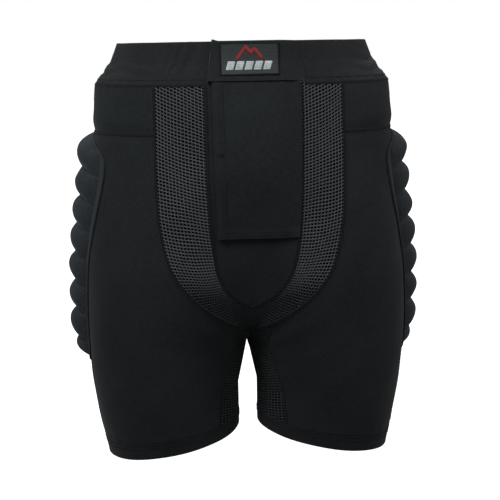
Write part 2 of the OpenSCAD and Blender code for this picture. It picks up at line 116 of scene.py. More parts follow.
def through(xs, ys, x):
    """A smooth line through given points."""
    slopes = np.empty_like(ys)
    slopes[1:-1] = (ys[2:] - ys[:-2]) / (xs[2:] - xs[:-2])
    slopes[0] = (ys[1] - ys[0]) / (xs[1] - xs[0])
    slopes[-1] = (ys[-1] - ys[-2]) / (xs[-1] - xs[-2])
    i = np.clip(np.searchsorted(xs, x, side="right") - 1, 0, len(xs) - 2)
    h = xs[i + 1] - xs[i]
    q = (x - xs[i]) / h
    p = q * q * (3 - 2 * q)
    return mix(ys[i], ys[i + 1], p) + h * q * (1 - q) * ((1 - q) * slopes[i] - q * slopes[i + 1])


def half_gap(d):
    return LEG_GAP * np.clip((np.asarray(d, float) - CROTCH) / GAP_FADE, 0, 1)


def ring(d):
    """The shape of the section at a drop: two arc offsets, the arc's end angle and its width ratio."""
    w = through(DROPS, HALF, d)
    gap = half_gap(d)
    pinched = np.clip(1 - (CROTCH - d) / PINCH, 0, None) ** 1.35
    r = np.where(d < CROTCH, pinched, (w + gap) / (w - gap))
    end = np.where(r >= 1, math.pi, np.arccos(-np.clip(r, 0, 1)))
    return w * r / (1 + r), w / (1 + r), end, r


def skin(s, d):
    """The bare form, for s from -1 (front centre) over 0 (side) to 1 (back centre)."""
    q0, q1, end, r = ring(d)
    c0 = np.cos(s * end)
    fill = 1 - smooth(d, BRIDGE_TOP, CROTCH)
    bridged = c0 - fill * c0**3 / (3 * np.maximum(r, 0.25) ** 2)
    c = np.where((c0 < 0) & (d < CROTCH), bridged, c0)
    depth = np.where(s < 0, through(DROPS, FRONT, d), through(DROPS, BACK, d))
    y = np.sign(s) * np.sqrt(np.clip(1 - c * c, 0, None)) * depth
    low = CROTCH + (d - CROTCH) * (1 - HEM_RISE / LEG * (1 - np.cos(math.pi * s)) / 2)
    return np.stack([q0 + q1 * c0, y, -np.where(d <= CROTCH, d, low)], -1)


def unit(a):
    return a / np.maximum(np.linalg.norm(a, axis=-1, keepdims=True), 1e-12)


def normal(s, d):
    down, turn = 0.5, 0.002
    return unit(np.cross(skin(s, d + down) - skin(s, d - down), skin(s + turn, d) - skin(s - turn, d)))


def relief(v, d):
    """Small unevenness of the worn fabric, in millimetres: waves, each with its height and lengths."""
    g = v * V_UNIT
    side = smooth(np.abs(np.abs(v) - 1), 0.75, 0.25)
    # soft waves of the panels
    body = smooth(d, BAND + 4, BAND + 40)
    r = body * (0.45 * np.sin(g / 31 + d / 47) + 0.35 * np.sin(g / 19 - d / 29 + 1.3))
    r += body * 0.22 * np.sin(g / 9.5 + d / 12.5 + 2.1 + np.sin(d / 31))
    # the yoke seam draws in, with a swell above it
    r -= 1.6 * side * np.exp(-(((d - YOKE) / 7.0) ** 2))
    r += 0.9 * side * np.exp(-(((d - YOKE + 14) / 9.0) ** 2))
    # puckers under the waistband
    pucker = np.exp(-(((d - BAND - 4) / 7.0) ** 2))
    r += 0.42 * pucker * np.sin(g / 2.6 + 1.7 * np.sin(g / 17))
    # gathers in the waistband beside the tab, then its long waves and its ribs at the sides
    gather = np.exp(-(((g + 78) / 26.0) ** 2)) * smooth(BAND - d, 0, 20)
    r += 0.9 * gather * np.sin(g / 2.3 + d / 11 + np.sin(g / 7))
    r += 0.25 * smooth(BAND + 2 - d, 0, 8) * np.sin(g / 13 + 0.6)
    ribs = side * smooth(d, 14, 24) * smooth(BAND - d, 0, 6)
    r += 0.9 * ribs * np.sin(d / 1.9 + 1.2 * np.sin(g / 15))
    # puckers above the hem
    hem = np.exp(-(((d - LENGTH + HEM + 4) / 6.0) ** 2))
    r += 0.3 * hem * np.sin(g / 2.9 + 1.1 * np.sin(g / 13))
    # drag lines beside the crotch
    drag = np.exp(-(((np.abs(v) - 0.12) / 0.16) ** 2)) * np.exp(-(((d - CROTCH + 26) / 30.0) ** 2))
    r += 0.9 * drag * np.sin((d * 0.9 + np.abs(g) * 0.8) / 5.2)
    return r


def alike(*values):
    """The values as number grids of one shape."""
    return np.broadcast_arrays(*(np.asarray(x, float) for x in values))


def place(v, d, lift):
    """Points in metres. Girths past 2 or -2 come round again from the other side."""
    v, d, lift = alike(v, d, lift)
    w = np.where(v > 2, v - 4, np.where(v < -2, v + 4, v))
    s = np.abs(w) - 1
    p = skin(s, d) + normal(s, d) * (lift + relief(w, d))[..., None]
    p[..., 0] = np.where((np.abs(s) > EDGE_TURN) & (d < CROTCH), 0, p[..., 0])
    p[..., 0] *= np.where(w < 0, -1, 1)
    return p * MM


def leg_place(s, d, lift, side):
    """Points on one leg, in metres, where s may run past -1 or 1 round the inseam."""
    s, d, lift = alike(s, d, lift)
    turn = np.where(s < -1, s + 2, np.where(s > 1, s - 2, s))
    waves = relief(side * (np.abs(turn) + 1), d) * smooth(1 - np.abs(turn), 0, 0.15)
    p = skin(turn, d) + normal(turn, d) * (lift + waves)[..., None]
    p[..., 0] = np.where((np.abs(s) > EDGE_TURN) & (d < CROTCH), 0, p[..., 0]) * side
    return p * MM


def v_at(x, d):
    """The girth value at a distance x to the side of the front centre."""
    q0, q1, end, _ = ring(d)
    return np.sign(x) * (1 - np.arccos(np.clip((np.abs(x) - q0) / q1, -1, 1)) / end)


def band_v(x, d=20.0):
    """The girth value of one place on the waistband, at half its height."""
    return float(v_at(x, np.array(d)))


# ------------------------------------------------------------------ materials


def material(name, colour, rough, sheen, weave=(900.0, 700.0), grain=0.25, vary=0.16, coat=0.3, painted_shade=None):
    """A woven or knitted fabric.

    vary is how far the colour varies, and grain is the depth of the weave. The last argument, painted shade,
    is (low height, high height, share of the colour left at the low one): the colour darkens from the high
    height down to the low one.
    """
    m = bpy.data.materials.new(name)
    m.use_nodes = True
    nt = m.node_tree
    nt.nodes.clear()
    link = nt.links.new
    out = nt.nodes.new("ShaderNodeOutputMaterial")
    bsdf = nt.nodes.new("ShaderNodeBsdfPrincipled")
    link(bsdf.outputs[0], out.inputs[0])
    uv = nt.nodes.new("ShaderNodeTexCoord")
    cloud = nt.nodes.new("ShaderNodeTexNoise")
    cloud.inputs["Scale"].default_value = 14
    cloud.inputs["Detail"].default_value = 5
    fine = nt.nodes.new("ShaderNodeTexNoise")
    fine.inputs["Scale"].default_value = 300
    fine.inputs["Detail"].default_value = 3
    for n in (cloud, fine):
        link(uv.outputs["Object"], n.inputs["Vector"])
    both = nt.nodes.new("ShaderNodeMath")
    both.operation = "MULTIPLY_ADD"
    both.inputs[1].default_value = 0.9
    link(fine.outputs[0], both.inputs[0])
    link(cloud.outputs[0], both.inputs[2])
    ramp = nt.nodes.new("ShaderNodeMapRange")
    ramp.inputs["From Min"].default_value = 0.65
    ramp.inputs["From Max"].default_value = 1.25
    ramp.inputs["To Min"].default_value = 1 - vary
    ramp.inputs["To Max"].default_value = 1 + vary
    link(both.outputs[0], ramp.inputs["Value"])
    tint = nt.nodes.new("ShaderNodeVectorMath")
    tint.operation = "SCALE"
    tint.inputs[0].default_value = colour
    shade = ramp.outputs[0]
    # painted shade: the colour is scaled down with object height, to the given share at the low height and
    # below
    if painted_shade:
        axes = nt.nodes.new("ShaderNodeSeparateXYZ")
        link(uv.outputs["Object"], axes.inputs[0])
        fall = nt.nodes.new("ShaderNodeMapRange")
        fall.interpolation_type = "SMOOTHSTEP"
        for key, value in zip(("From Min", "From Max", "To Min"), painted_shade):
            fall.inputs[key].default_value = value
        link(axes.outputs["Z"], fall.inputs["Value"])
        dim = nt.nodes.new("ShaderNodeMath")
        dim.operation = "MULTIPLY"
        link(shade, dim.inputs[0])
        link(fall.outputs[0], dim.inputs[1])
        shade = dim.outputs[0]
    link(shade, tint.inputs["Scale"])
    link(tint.outputs[0], bsdf.inputs["Base Color"])
    height = None
    for k, scale in enumerate(weave):
        wave = nt.nodes.new("ShaderNodeTexWave")
        wave.bands_direction = "XY"[k]
        wave.inputs["Scale"].default_value = scale / 4
        wave.inputs["Distortion"].default_value = 1.4
        wave.inputs["Detail"].default_value = 1
        link(uv.outputs["UV"], wave.inputs["Vector"])
        if height is None:
            height = wave.outputs["Fac"]
        else:
            mul = nt.nodes.new("ShaderNodeMath")
            mul.operation = "MULTIPLY"
            link(height, mul.inputs[0])
            link(wave.outputs["Fac"], mul.inputs[1])
            height = mul.outputs[0]
    add = nt.nodes.new("ShaderNodeMath")
    add.operation = "ADD"
    link(height, add.inputs[0])
    link(fine.outputs[0], add.inputs[1])
    bump = nt.nodes.new("ShaderNodeBump")
    bump.inputs["Strength"].default_value = grain
    bump.inputs["Distance"].default_value = 0.0005
    link(add.outputs[0], bump.inputs["Height"])
    link(bump.outputs[0], bsdf.inputs["Normal"])
    bsdf.inputs["Roughness"].default_value = rough
    bsdf.inputs["Sheen Weight"].default_value = sheen
    bsdf.inputs["Sheen Roughness"].default_value = 0.45
    bsdf.inputs["Specular IOR Level"].default_value = coat
    return m


# painted shade: the jersey's colour falls to 0.72 of itself from 0.06 m down to 0.36 m below the waist's top
# edge
JERSEY = material("jersey", (0.0155, 0.0172, 0.0184), 0.78, 0.10, grain=0.2, vary=0.4,
                  painted_shade=(-0.36, -0.06, 0.72))
BAND_CLOTH = material("band_cloth", (0.0165, 0.0176, 0.0186), 0.85, 0.12, weave=(1300, 900),
                      grain=0.3, vary=0.34)
# A near-black colour for the sheets behind the netting: painted shade for the inside of the garment seen
# through the holes.
SHADE_BACKING = material("shade_backing", (0.0025, 0.0027, 0.0028), 0.9, 0.05, coat=0.1)
# painted shade: the netting's colour falls to 0.24 of itself near its low end, from 0.245 m to 0.285 m below
# the waist's top edge
MESH = material("mesh", (0.098, 0.101, 0.105), 0.8, 0.15, weave=(1500, 1500),
                painted_shade=(-0.285, -0.245, 0.24))
PAD = material("pad_fabric", (0.035, 0.039, 0.043), 0.85, 0.15, weave=(700, 700), grain=0.3,
               vary=0.3, coat=0.25)
FOAM = material("foam", (0.25, 0.26, 0.27), 0.9, 0, weave=(200, 200), grain=0.6)
ELASTIC = material("elastic", (0.2, 0.2, 0.2), 0.8, 0, weave=(1500, 200), grain=0.6)
# A darker copy of the netting's colour: painted shade for the netting on the inner thighs, which lies in
# shadow.
SHADED_MESH = material("mesh_inner", (0.034, 0.035, 0.036), 0.8, 0.1, weave=(1500, 1500))
TAPE = material("tape", (0.012, 0.012, 0.012), 0.95, 0.3, weave=(1600, 1600), grain=0.9)
THREAD = material("thread", (0.007, 0.0075, 0.008), 0.7, 0.1, weave=(2600, 2600), grain=0.4)
LABEL = material("label_weave", (0.043, 0.046, 0.047), 0.5, 0.2, weave=(2200, 900), grain=0.4)
EMBLEM = material("emblem_thread", (0.42, 0.035, 0.03), 0.5, 0.2, weave=(2600, 300), grain=0.5)
WHITE_THREAD = material("emblem_pale", (0.86, 0.86, 0.85), 0.5, 0.2, weave=(2600, 300), grain=0.5)
CARE = material("care_tape", (0.75, 0.75, 0.73), 0.5, 0.1, weave=(1800, 1800))

# ------------------------------------------------------------------ mesh tools


def build(name, co, faces, mat, uv=None, angle=0.9):
    """A mesh object. Edges sharper than angle, in radians, stay sharp."""
    me = bpy.data.meshes.new(name)
    me.from_pydata(np.asarray(co).reshape(-1, 3).tolist(), [], [list(f) for f in faces])
    if uv is not None:
        layer = me.uv_layers.new(name="weave")
        index = np.empty(len(me.loops), np.int32)
        me.loops.foreach_get("vertex_index", index)
        layer.data.foreach_set("uv", np.asarray(uv, np.float32).reshape(-1, 2)[index].ravel())
    bm = bmesh.new()
    bm.from_mesh(me)
    bmesh.ops.recalc_face_normals(bm, faces=bm.faces)
    bm.to_mesh(me)
    bm.free()
    me.polygons.foreach_set("use_smooth", np.ones(len(me.polygons), bool))
    me.set_sharp_from_angle(angle=angle)
    me.materials.append(mat)
    ob = bpy.data.objects.new(name, me)
    scene.collection.objects.link(ob)
    return ob


def settle(ob, node=None, body=ROOT):
    """Parents a finished piece to the empty of its body, and hides the CAD node it stands for if one is given.
    """
    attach(ob, body)
    if node:
        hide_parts(node)


def quads(n, m, base=0, wrap_i=False, wrap_j=False):
    """The faces of a grid of n rows of m points, which may close on itself either way."""
    i, j = np.meshgrid(np.arange(n if wrap_i else n - 1), np.arange(m if wrap_j else m - 1), indexing="ij")
    a = i * m + j
    b = ((i + 1) % n) * m + j
    c = ((i + 1) % n) * m + (j + 1) % m
    e = i * m + (j + 1) % m
    return (np.stack([a, b, c, e], -1).reshape(-1, 4) + base).tolist()


def shell(n, m):
    """The faces of a closed piece whose two sides are grids of n rows of m points."""
    k = n * m
    faces = quads(n, m) + quads(n, m, k)
    for i in range(n - 1):
        for j in (0, m - 1):
            faces.append([i * m + j, (i + 1) * m + j, (i + 1) * m + j + k, i * m + j + k])
    for j in range(m - 1):
        for i in (0, n - 1):
            faces.append([i * m + j, i * m + j + 1, i * m + j + 1 + k, i * m + j + k])
    return faces


def capped(n, m):
    """The faces of a row of n rings of m points, closed at both ends."""
    return quads(n, m, 0, False, True) + [list(range(m)), [(n - 1) * m + j for j in range(m)][::-1]]


def slab(name, P, Q, mat, uv, subdivide=0):
    """The closed piece between two matching grids of points."""
    ob = build(name, np.concatenate([P.reshape(-1, 3), Q.reshape(-1, 3)]), shell(*P.shape[:2]), mat,
               np.concatenate([uv.reshape(-1, 2), uv.reshape(-1, 2)]))
    if subdivide:
        bake_modifier(ob, "SUBSURF", levels=subdivide, render_levels=subdivide)
    return ob


def bake_modifier(ob, kind, **values):
    """Adds a modifier, applies it and keeps the result smooth."""
    m = ob.modifiers.new(kind.title(), kind)
    for k, v in values.items():
        setattr(m, k, v)
    dg = bpy.context.evaluated_depsgraph_get()
    new = bpy.data.meshes.new_from_object(ob.evaluated_get(dg))
    ob.modifiers.clear()
    old, ob.data = ob.data, new
    bpy.data.meshes.remove(old)
    new.polygons.foreach_set("use_smooth", np.ones(len(new.polygons), bool))


def sheet(name, V, D, low, high, mat):
    """A sheet on a grid of girth and drop values, between two lifts."""
    uv = np.stack([V * V_UNIT, D], -1) * MM
    return slab(name, place(V, D, high), place(V, D, low), mat, uv)


def rows(near, far, d, count):
    """Grids of girth and drop values between two lines, given as functions of the drop."""
    k = np.linspace(0, 1, count + 1)[None]
    return mix(near(d)[:, None], far(d)[:, None], k), np.repeat(d[:, None], count + 1, 1)


def section(V, profile):
    """Grids of girth, drop and lift for a section, a list of (drop, lift), repeated along girth values."""
    prof = np.array(profile, float)
    n, m = len(V), len(prof)
    return (np.repeat(np.asarray(V)[:, None], m, 1), np.repeat(prof[None, :, 0], n, 0),
            np.repeat(prof[None, :, 1], n, 0))


def swept(name, V, profile, mat, sink=0.0):
    """A closed section swept along girth values and set back by sink."""
    VV, DD, LL = section(V, profile)
    LL = LL - np.broadcast_to(sink, len(V))[:, None]
    run = np.concatenate([[0], np.cumsum(np.linalg.norm(np.diff(np.array(profile, float), axis=0), axis=1))])
    uv = np.stack([VV * V_UNIT, np.repeat(run[None], len(V), 0)], -1) * MM
    return build(name, place(VV, DD, LL), capped(*VV.shape), mat, uv)


def tube(name, centres, normals, radius, mat, sides=10):
    """A round cord along a closed line of points."""
    n = len(centres)
    t = unit(np.roll(centres, -1, 0) - np.roll(centres, 1, 0))
    b = unit(np.cross(t, normals))
    u = np.cross(b, t)
    a = np.linspace(0, 2 * math.pi, sides, endpoint=False)
    co = (centres[:, None] + radius * (np.cos(a)[None, :, None] * b[:, None]
          + np.sin(a)[None, :, None] * u[:, None]))
    length = np.concatenate([[0], np.cumsum(np.linalg.norm(np.diff(centres, axis=0), axis=1))])
    uv = np.stack([np.repeat(length[:, None], sides, 1), np.repeat(a[None] * radius, n, 0)], -1)
    return build(name, co, quads(n, sides, 0, True, True), mat, uv, angle=1.2)


class Path:
    """A line on the fabric, measured in metres along its real length."""

    def __init__(self, v, d, where=place):
        self.v, self.d, self.where = np.asarray(v, float), np.asarray(d, float), where
        p = where(self.v, self.d, 0)
        self.s = np.concatenate([[0], np.cumsum(np.linalg.norm(np.diff(p, axis=0), axis=1))])

    def on(self, s, lift):
        return self.where(np.interp(s, self.s, self.v), np.interp(s, self.s, self.d), lift)

    def at(self, s, lift, across=0.0):
        """Points at lengths s, moved across the line, with the line's three directions there."""
        step = 0.0015
        p = self.on(s, lift)
        t = unit(self.on(s + step, lift) - self.on(s - step, lift))
        n = unit(self.on(s, lift + 1) - p)
        b = np.cross(t, n)
        return p + b * np.asarray(across)[..., None] * MM, t, n, b


def stitches(parts, path, offset, lift, pitch=2.9, length=2.3, radius=0.28, slant=0.0, ends=0.002):
    """Adds rows of single thread stitches to parts, a list of (points, faces)."""
    s = np.arange(ends, path.s[-1] - ends, pitch * MM)
    if len(s) == 0:
        return
    p, t, n, b = path.at(s, lift, np.full(len(s), offset))
    along = unit(t * math.cos(slant) + b * math.sin(slant))
    across = np.cross(along, n)
    rings, sides = 5, 6
    k = np.linspace(-1, 1, rings)
    a = np.linspace(0, 2 * math.pi, sides, endpoint=False)
    centre = (p[:, None] + along[:, None] * (k * length / 2 * MM)[None, :, None]
              + n[:, None] * ((1 - k * k) * 0.45 - 0.25)[None, :, None] * MM)
    r = radius * MM * np.sqrt(1 - 0.75 * k * k)
    turn = (np.cos(a)[None, None, :, None] * across[:, None, None]
            + np.sin(a)[None, None, :, None] * n[:, None, None])
    co = centre[:, :, None] + r[None, :, None, None] * turn
    start = sum(len(c) for c, _ in parts)
    faces = []
    for i in range(len(s)):
        base = start + i * rings * sides
        faces += quads(rings, sides, base, False, True)
        faces += [[base + j for j in range(sides)],
                  [base + (rings - 1) * sides + j for j in range(sides - 1, -1, -1)]]
    parts.append((co.reshape(-1, 3), faces))


def join_parts(name, parts, mat):
    co = np.concatenate([c for c, _ in parts])
    return build(name, co, [f for _, faces in parts for f in faces], mat, co[:, :2], angle=1.3)


def ribbon(parts, path, width, lift, height):
    """Adds a low domed band, the looped thread of a flat seam, to parts."""
    s = np.append(np.arange(0, path.s[-1], 2.5 * MM), path.s[-1])
    wave = 0.12 * np.sin(np.arange(len(s)) * 2.1)
    top, under = [], []
    for k in np.linspace(-1, 1, 7):
        across = np.full(len(s), k * width / 2) + wave * abs(k)
        dome = math.sqrt(max(0.0, 1 - k**4))
        top.append(path.at(s, lift + height * dome, across)[0])
        under.append(path.at(s, lift - 0.35, across)[0])
    start = sum(len(c) for c, _ in parts)
    faces = (np.array(shell(len(s), len(top))) + start).tolist()
    points = [np.stack(side, 1).reshape(-1, 3) for side in (top, under)]
    parts.append((np.concatenate(points), faces))


def seam(parts, path, width, tracks=(-1.6, 1.6), cross=True):
    """A flat seam: a looped band with rows of stitches and, if cross is set, slanting cover threads."""
    ribbon(parts, path, width, 0.05, 0.42)
    for track in tracks:
        stitches(parts, path, track, 0.5, 2.7, 2.2, 0.26)
    if cross:
        stitches(parts, path, 0.0, 0.47, 1.9, 3.0, 0.17, slant=1.05)


# ------------------------------------------------------------------ seam lines

OUT_END, IN_END = 321.0, 292.0   # drops where the outer and inner seams reach the centre
OUT_D = np.array([BAND, 146, 200, 243, 269, 288, 305, 315, OUT_END], float)
OUT_X = np.array([102, 102.5, 99.5, 89.5, 73, 54, 31, 13, 0], float)
IN_D = np.array([BAND, 146, 200, 230, 256, 274, 285, IN_END], float)
IN_X = np.array([51, 50.5, 48, 44.5, 38, 25, 11, 0], float)
SHIFT_FADE = 62.0                # the fly's shift fades over this drop above the inner seam's end
THIGH_TOP = 316.0                # drop where the inner thigh mesh begins
INSEAM_BACK = 0.20               # girth from the back centre to the mesh's back edge at the hem


def outer_x(d):
    return through(OUT_D, OUT_X, np.minimum(d, OUT_END))


def outer_seam(d):
    d = np.asarray(d, float)
    return np.where(d >= OUT_END, 0, v_at(np.maximum(1e-6, outer_x(d)), d))


def inner_x(d, side):
    shift = side * FLY_SHIFT * np.clip((IN_END - d) / SHIFT_FADE, 0, 1)
    return through(IN_D, IN_X, np.minimum(d, IN_END)) + shift


def inner_seam(d, side):
    d = np.asarray(d, float)
    return np.where(d >= IN_END, 0, v_at(np.maximum(1e-6, inner_x(d, side)), d))


def down_leg(d):
    return np.clip((np.asarray(d, float) - CROTCH) / LEG, 0, None)


def inseam_front(d):
    return v_at(20 + 10 * down_leg(d) + half_gap(d), d)


def behind(d):
    return INSEAM_BACK * np.sin(math.pi / 2 * down_leg(d))


def inseam_back(d):
    return 2 - behind(d)


def inseam_near(d):
    """Where the inner thigh mesh begins: on the front seam, at the centre, then behind the leg."""
    return -1 + np.where(d < CROTCH, outer_seam(d), -behind(d))


class Pad:
    """A pad: foam cells one above the other under one cover, the last cell shorter and lower.

    A place on it is (u, w), u across from its front edge and w down from its top, both 0 to 1.
    """

    pitch = 32.7      # from one cell to the next
    height = 21.0     # of a cell
    last = 0.64       # the last cell's share of the pitch
    valley = 0.42     # height left between two cells, as a share
    flange = 0.07     # flat border at each side, as a share of the width

    def __init__(self, top, cells, front, back, tilt, droop=0.0, growth=0.0):
        """front and back are the edges' girths at the top and at the bottom."""
        self.top, self.cells, self.front, self.back = top, cells, front, back
        self.tilt, self.droop, self.growth = tilt, droop, growth
        self.rows = cells - 1 + self.last
        self.bottom = top + self.rows * self.pitch

    def at(self, u, w):
        corner = 0.66 + 0.34 * np.sqrt(np.clip(1 - np.abs(2 * w - 1) ** 7, 0, None))
        f, b = mix(*self.front, w * (2 - w)), mix(*self.back, w)
        v = (f + b) / 2 + (2 * u - 1) * (b - f) / 2 * corner
        sag = self.droop * mix(1, 0.4, w) * np.clip(1 - u / 0.35, 0, None) ** 2
        return v, mix(self.top, self.bottom, w) + self.tilt * (0.5 - u) + sag

    def rise(self, u, w):
        row = np.clip(w * self.rows, 0, self.rows - 1e-9)
        cell = np.minimum(np.floor(row), self.cells - 1)
        ending = cell == self.cells - 1
        c = (row - cell) / np.where(ending, self.last, 1)
        full = np.where(ending, 0.85, 1.0)
        dome = np.sqrt(np.clip(1 - (2 * c - 1) ** 2, 0, None))
        closed = ((cell == 0) & (c < 0.5)) | (ending & (c > 0.5))
        h = np.where(closed, full * dome, self.valley + (full - self.valley) * dome)
        t = np.abs(2 * u - 1) / (1 - 2 * self.flange)
        growth = 1 + self.growth * (row / self.rows - 0.5)
        return growth * self.height * np.clip(1 - t ** 2.6, 0, None) ** 0.75 * h

    def loop(self, margin, n=160, passes=14):
        """The pad's outline, moved out by margin, with its corners rounded in a few passes."""
        down = np.linspace(0, 1, n)
        across = np.linspace(0.04, 0.96, n // 4)
        f = [self.at(np.zeros(n), down), self.at(across, np.ones(n // 4)),
             self.at(np.ones(n), down[::-1]), self.at(across[::-1], np.zeros(n // 4))]
        v = np.concatenate([f[0][0] - margin / V_UNIT, f[1][0], f[2][0] + margin / V_UNIT, f[3][0]])
        d = np.concatenate([f[0][1], f[1][1] + margin, f[2][1], f[3][1] - margin])
        for _ in range(passes):
            v = (np.roll(v, 1) + 2 * v + np.roll(v, -1)) / 4
            d = (np.roll(d, 1) + 2 * d + np.roll(d, -1)) / 4
        return v, d


HIP = Pad(104.5, 8, (0.70, 0.95), (1.38, 1.36), 20, 5, 0.44)
SEAT = Pad(156, 5, (1.48, 1.49), (1.84, 1.78), -6)
TAIL = Pad(111, 5, (1.885, 1.915), (2.115, 2.085), 0)


def side_front(d):
    k = np.clip((d - HIP.top) / (HIP.bottom - HIP.top), 0, 1)
    return mix(*HIP.front, k * (2 - k))


def side_back(d):
    return mix(*HIP.back, np.clip((d - HIP.top) / (HIP.bottom - HIP.top), 0, 1))


# ------------------------------------------------------------------ panels

fine = 1     # grids are this many times coarser
panel_end = LENGTH - HEM


def drops(a, b, step=4.0):
    return np.linspace(a, b, max(2, int((b - a) / step / fine)) + 1)


def back_centre(d):
    return np.full(len(d), 2.0)


def front_edge(d):
    """The front panel's inner edge: the mesh seam, then the inseam."""
    return np.where(d < THIGH_TOP, outer_seam(d), inseam_front(d))


FRONT_DROPS = np.unique(np.concatenate([drops(YOKE, THIGH_TOP), drops(THIGH_TOP, CROTCH),
                                        drops(CROTCH, panel_end)]))
PANELS = (("hip_yoke", outer_seam, back_centre, drops(BAND, YOKE, 2.4), 100),
          ("front_panel", front_edge, side_front, FRONT_DROPS, 40),
          ("side_panel", side_front, side_back, drops(YOKE, panel_end), 34),
          ("back_panel", side_back, inseam_back, drops(YOKE, panel_end), 46))
for side, tag in SIDES:
    for name, near, far, levels, count in PANELS:
        V, D = rows(near, far, levels, count // fine)
        settle(sheet(f"{name}_{tag}.cloth", side * V, D, -CLOTH, 0, JERSEY), f"{name}_{tag}")

NET_LIFT = -0.4        # of the netting, from the fabric's outer face
BORDER_MOST = 0.42     # widest border of a hole, as a share of its cell
MERGE = 0.00008        # metres within which the corners of cells are joined
YARN = 0.0006          # thickness of the netting, in metres


def net(name, corners, shape, where, mat, yarn=(0.18, 0.1)):
    """Open netting: a skewed grid of cells, each with a hole.

    yarn is the share of a cell left as a border at its rows and columns.
    """
    n, m = shape
    i, j = np.meshgrid(np.arange(n + 1), np.arange(m + 1), indexing="ij")
    k, c = corners(i, j)
    co = where(k, c).reshape(-1, 3)
    q = np.array(quads(n + 1, m + 1))
    flat = k.reshape(-1)[q]
    q = q[flat.max(1) - flat.min(1) > 0.3 / n]
    square = co[q]
    reach = np.linalg.norm(square[:, [1, 2, 3, 0]] - square, axis=-1)
    border = []
    for side, share in enumerate(yarn):
        span = (reach[:, side] + reach[:, side + 2]) / 2
        wanted = share * np.median(span) / np.maximum(span, 1e-6)
        border.append(np.clip(wanted, 0.5 * share, BORDER_MOST))
    down, over = border
    hole = [(down, over), (1 - down, over), (1 - down, 1 - over), (down, 1 - over)]
    weights = np.stack([np.stack([(1 - u) * (1 - w), u * (1 - w), u * w, (1 - u) * w], -1)
                        for u, w in hole], 1)
    inner = np.einsum("fhc,fcx->fhx", weights, square)
    first = len(co) + 4 * np.arange(len(q))
    faces = [(q[:, e], q[:, (e + 1) % 4], first + (e + 1) % 4, first + e) for e in range(4)]
    faces = np.concatenate([np.stack(f, 1) for f in faces])
    points = np.concatenate([co, inner.reshape(-1, 3)])
    ob = build(name, points, faces.tolist(), mat, points[:, [0, 2]])
    bm = bmesh.new()
    bm.from_mesh(ob.data)
    bmesh.ops.remove_doubles(bm, verts=bm.verts, dist=MERGE)
    bmesh.ops.delete(bm, geom=[v for v in bm.verts if not v.link_faces], context="VERTS")
    bmesh.ops.recalc_face_normals(bm, faces=bm.faces)
    bm.to_mesh(ob.data)
    bm.free()
    bake_modifier(ob, "SOLIDIFY", thickness=YARN, offset=0)
    return ob


def skewed(n, m, shear):
    """Places for the corners of n rows and m columns, each column set back by a share of a row."""
    def corners(i, j):
        return np.clip((i - shear * j) / (n - shear * m), 0, 1), j / m
    return corners


def even(n, m):
    return np.meshgrid(np.linspace(0, 1, n), np.linspace(0, 1, m), indexing="ij")


def shade_backing(name, P, Q):
    """A thin near-black sheet behind a net: painted shade for the dark inside of the garment seen through the
    holes. It stands for no CAD node.
    """
    settle(slab(name, P, Q, SHADE_BACKING, np.stack([P[..., 1], P[..., 2]], -1)))


NET_TOP = BAND - 1.5       # the front netting begins inside the waistband


def front_net(side, tag):
    """The netting between the inner and outer seams, with rows spaced evenly along its middle."""
    n, m = 88, 14 - side

    def levels(k):
        return mix(NET_TOP, IN_END + 0.5, k), mix(NET_TOP, OUT_END + 0.5, k)

    run = np.linspace(0, 1, 400)
    run_in, run_out = levels(run)
    mid_x = (inner_x(np.minimum(run_in, IN_END - 0.1), side) + outer_x(np.minimum(run_out, OUT_END - 0.1))) / 2
    length = np.concatenate([[0], np.cumsum(np.hypot(np.diff(mid_x), np.diff((run_in + run_out) / 2)))])

    def where(k, c, lift=NET_LIFT):
        e = np.interp(k * length[-1], length, run)
        da, db = levels(e)
        v, d = mix(inner_seam(da, side), outer_seam(db), c), mix(da, db, c)
        d = d + 0.9 * np.sin(5 * c + d / 19 + side) * np.sin(math.pi * c) * smooth(1 - e, 0, 0.2)
        return place(side * np.maximum(v, 0.0005), d, lift)

    settle(net(f"front_mesh_{tag}.cloth", skewed(n, m, 0.5), (n, m), where, MESH), f"front_mesh_{tag}")
    k, c = even(90, 12)
    shade_backing(f"front_mesh_shade_backing_{tag}.cloth", where(k, c, -1.3), where(k, c, -1.8))


LEG_CENTRE = 0.087     # metres from the centre to the middle of a leg


def thigh_net(side, tag):
    """The netting along the inner thigh, from the outer mesh seam round to the back panel."""
    n, m = 44, 20

    def where(k, c):
        d = mix(THIGH_TOP, panel_end, k)
        s = mix(inseam_near(d), -1 + inseam_front(d), c)
        return leg_place(s, d, NET_LIFT, side)

    ob = net(f"inner_thigh_mesh_{tag}.cloth", skewed(n, m, 0.45), (n, m), where, SHADED_MESH)
    settle(ob, f"inner_thigh_mesh_{tag}")
    grid = where(*even(26, 18))
    inward = unit(np.array([side * LEG_CENTRE, 0, 0]) + grid * np.array([0, 0, 1]) - grid) * MM
    shade_backing(f"inner_thigh_shade_backing_{tag}.cloth", grid + inward * 0.8, grid + inward * 1.3)


for side, tag in SIDES:
    front_net(side, tag)
    thigh_net(side, tag)

# ------------------------------------------------------------------ front opening

FREE_TAPER = 3.0                   # the free edge leans in this much from the waist to the bottom
TAPE_PILE = 0.85                   # thickness of a hook or loop tape
LOOP_LOW, HOOK_LOW = 0.2, 1.15     # lifts under the two tapes
FLAP_TOP = FLY_LIFT + CLOTH        # lift of the closed flap's face


def flap_fabric(ob, node):
    """Bakes a flap piece's placement into its points and hides the CAD node it stands for."""
    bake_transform(ob)
    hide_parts(node)


def free_x(d):
    return mix(-FLAP_FREE, -FLAP_FREE + FREE_TAPER, d / FLAP_DROP)


